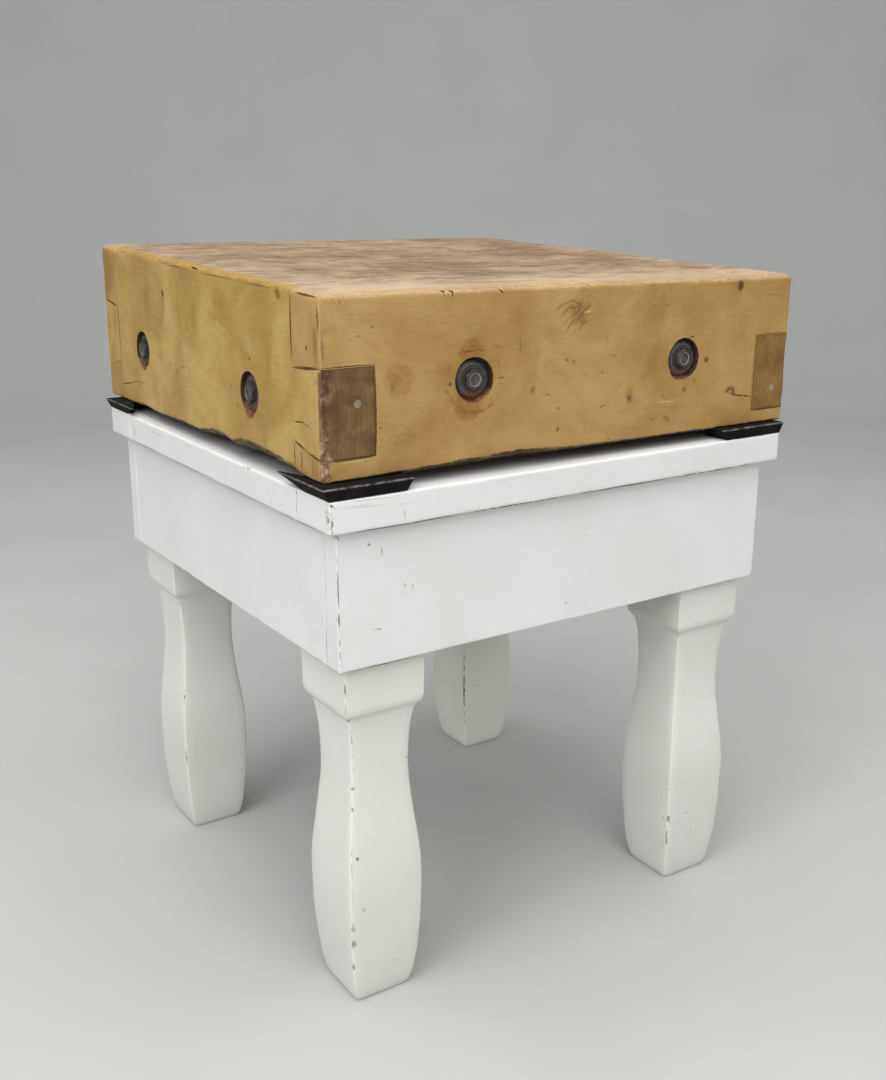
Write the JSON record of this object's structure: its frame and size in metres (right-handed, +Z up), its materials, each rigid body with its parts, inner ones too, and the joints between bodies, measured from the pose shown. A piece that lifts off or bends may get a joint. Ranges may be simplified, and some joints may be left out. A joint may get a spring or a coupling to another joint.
{
  "type": "chopping block",
  "caption": "Square end-grain chopping block in dovetailed side boards with tie bolts, resting on corner irons on a white-painted stand with ogee-shaped legs.",
  "frame": {"origin": "on the floor, at the centre of the whole object's outline", "axes": "+Z up, +X to the right seen from the front, +Y from the front to the back"},
  "size_m": [0.629, 0.63, 0.7844],
  "materials": {
    "side_board_wood": "worn, oiled and stained hardwood, satin",
    "end_grain_wood": "scraped and stained end grain, dull",
    "dark_steel": "old dark steel with a little rust, dull",
    "nail_steel": "worn steel, dull",
    "white_painted_wood": "brushed white paint, eggshell, with small chips and cracks",
    "black_iron": "black paint, semi-gloss, worn at the edges",
    "painted_screws": "white paint over filled screw heads"
  },
  "bodies": {
    "stand": {"front_top_rail": "white_painted_wood", "back_top_rail": "white_painted_wood", "left_top_rail": "white_painted_wood", "right_top_rail": "white_painted_wood", "front_apron": "white_painted_wood", "back_apron": "white_painted_wood", "left_apron": "white_painted_wood", "right_apron": "white_painted_wood", "front_left_leg": "white_painted_wood", "front_right_leg": "white_painted_wood", "back_left_leg": "white_painted_wood", "back_right_leg": "white_painted_wood", "front_left_corner_iron": "black_iron", "front_right_corner_iron": "black_iron", "back_left_corner_iron": "black_iron", "back_right_corner_iron": "black_iron", "corner_iron_screws": "black_iron", "rail_screws": "painted_screws", "apron_screws": "painted_screws"},
    "block": {"front_side_board": "side_board_wood", "back_side_board": "side_board_wood", "left_side_board": "side_board_wood", "right_side_board": "side_board_wood", "core_row_1": "end_grain_wood", "core_row_2": "end_grain_wood", "core_row_3": "end_grain_wood", "core_row_4": "end_grain_wood", "core_row_5": "end_grain_wood", "core_row_6": "end_grain_wood", "core_row_7": "end_grain_wood", "core_row_8": "end_grain_wood", "long_tie_rods": "dark_steel", "cross_tie_rods": "dark_steel", "tie_rod_washers": "dark_steel", "tie_rod_nuts": "dark_steel", "dovetail_nails": "nail_steel"}
  },
  "joints": [
    {"name": "block_lift", "type": "slide", "parent": "stand", "child": "block", "axis": [0, 0, 1], "range_m": [0, 0.3]}
  ]
}
